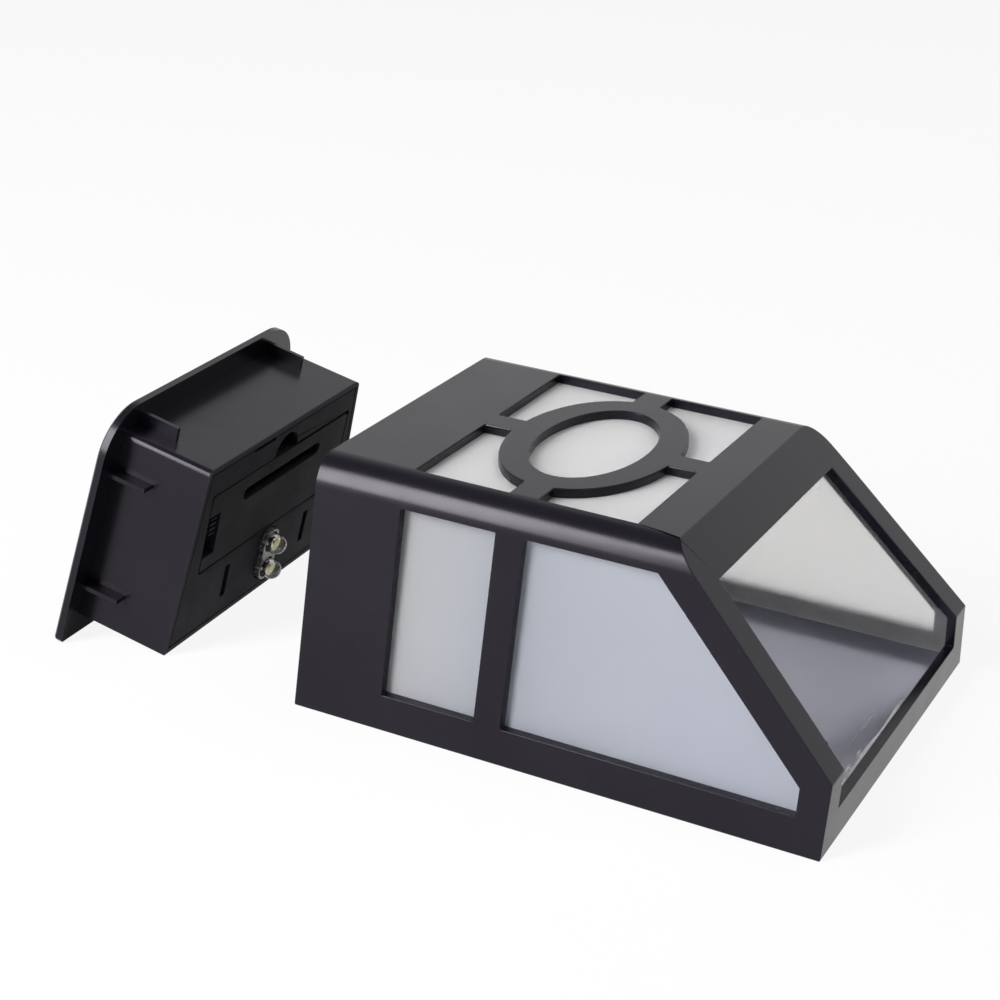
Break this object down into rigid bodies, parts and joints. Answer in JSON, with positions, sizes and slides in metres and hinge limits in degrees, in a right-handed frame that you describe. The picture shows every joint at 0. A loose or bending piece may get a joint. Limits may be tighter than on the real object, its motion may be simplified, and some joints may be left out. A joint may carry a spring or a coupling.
{
  "type": "solar wall light",
  "caption": "Solar wall light laid open: dark lantern frame with frosted windows and a sloped open top, beside its lift-out solar module with lights, battery door and switch.",
  "frame": {"origin": "centre of the lantern's back face, the face that goes against the wall and here lies on the table", "axes": "+X towards the sloped end, which is the top in use; +Z out of the wall through the ringed front window; Y across the lantern"},
  "size_m": [0.1899, 0.1038, 0.0569],
  "materials": {
    "black_plastic": "satin",
    "frosted_sheet": "frosted",
    "silvered_sheet": "silvered",
    "steel": "plated",
    "panel_board": "matt",
    "silicon": "gloss",
    "clear_cover": "gloss",
    "cell_sleeve": "printed sleeve without lettering",
    "board": "solder mask",
    "component_black": "matt",
    "clear_epoxy": "gloss",
    "red_wire": "satin",
    "black_wire": "satin"
  },
  "bodies": {
    "lantern": {"lantern_frame": "black_plastic", "front_diffuser": "frosted_sheet", "near_diffuser": "frosted_sheet", "far_diffuser": "frosted_sheet", "reflector_sheet": "silvered_sheet", "back_plate": "black_plastic", "back_screws": "steel"},
    "module": {"module_housing": "black_plastic", "panel_base": "panel_board", "panel_cover": "clear_cover", "module_lid": "black_plastic", "led_upper": "clear_epoxy", "led_lower": "clear_epoxy", "led_holder": "clear_epoxy", "panel_cells": "silicon", "battery_cell": "cell_sleeve", "plus_contact": "steel", "minus_contact": "steel", "circuit_board": "board", "driver_chip": "component_black", "storage_choke": "component_black", "switch_body": "component_black", "led_leads": "steel", "panel_wire_red": "red_wire", "panel_wire_black": "black_wire", "battery_wire_red": "red_wire", "switch_link_wire": "black_wire", "battery_wire_black": "black_wire"},
    "door": {"battery_door": "black_plastic"},
    "knob": {"switch_knob": "black_plastic"}
  },
  "joints": [
    {"name": "module_lift", "type": "slide", "parent": "lantern", "child": "module", "axis": [0, 0, 1], "range_m": [0, 0.15]},
    {"name": "door_hinge", "type": "hinge", "parent": "module", "child": "door", "pos_m": [-0.09676, -0.0057, 0.01827], "axis": [-0.039, 0.9992, 0], "range_deg": [0, 75]},
    {"name": "switch_slide", "type": "slide", "parent": "module", "child": "knob", "axis": [-0.2139, -0.0083, -0.9768], "range_m": [0, 0.004]}
  ]
}
